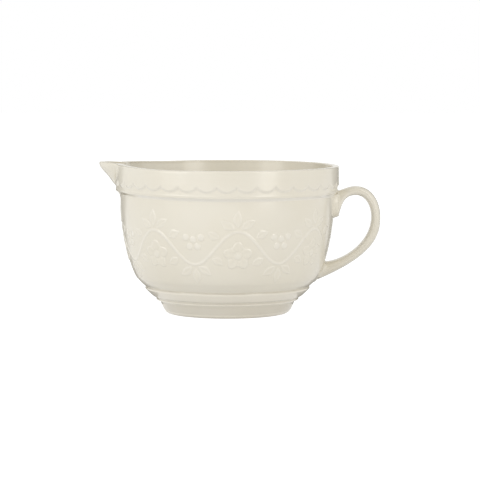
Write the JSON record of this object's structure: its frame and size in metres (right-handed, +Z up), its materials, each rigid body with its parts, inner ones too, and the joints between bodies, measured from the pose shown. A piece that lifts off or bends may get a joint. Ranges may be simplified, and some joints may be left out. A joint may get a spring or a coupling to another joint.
{
  "type": "batter bowl",
  "caption": "Glazed ceramic mixing bowl on a foot ring, with a pouring lip, a strap handle opposite it, a scalloped collar and a raised vine round the belly.",
  "frame": {"origin": "on the bowl's own axis, in the plane of the foot's resting face", "axes": "+Z up along the bowl's axis, +X towards the handle, -X towards the pouring lip"},
  "size_m": [0.2557, 0.2032, 0.1377],
  "materials": {
    "cream_glaze": "gloss",
    "relief_glaze": "gloss",
    "foot_glaze": "gloss"
  },
  "bodies": {
    "root": {"bowl_body": "cream_glaze", "rim_collar": "cream_glaze", "scallop_border": "cream_glaze", "collar_bead": "cream_glaze", "pouring_lip": "cream_glaze", "handle": "cream_glaze", "handle_terminal": "cream_glaze", "foot_ring": "foot_glaze", "waist_bead": "foot_glaze", "waist_band": "foot_glaze", "vine_stem": "relief_glaze", "leaf_spray_1": "relief_glaze", "leaf_spray_2": "relief_glaze", "leaf_spray_3": "relief_glaze", "leaf_spray_4": "relief_glaze", "leaf_spray_5": "relief_glaze", "leaf_spray_6": "relief_glaze", "leaf_spray_7": "relief_glaze", "leaf_spray_8": "relief_glaze", "leaf_spray_9": "relief_glaze", "leaf_spray_10": "relief_glaze", "leaf_spray_11": "relief_glaze", "leaf_spray_12": "relief_glaze", "leaf_spray_13": "relief_glaze", "blossom_1": "relief_glaze", "blossom_2": "relief_glaze", "blossom_3": "relief_glaze", "blossom_4": "relief_glaze", "blossom_5": "relief_glaze", "blossom_6": "relief_glaze", "blossom_7": "relief_glaze", "berry_cluster_1": "relief_glaze", "berry_cluster_2": "relief_glaze", "berry_cluster_3": "relief_glaze", "berry_cluster_4": "relief_glaze", "berry_cluster_5": "relief_glaze", "berry_cluster_6": "relief_glaze"}
  },
  "joints": []
}
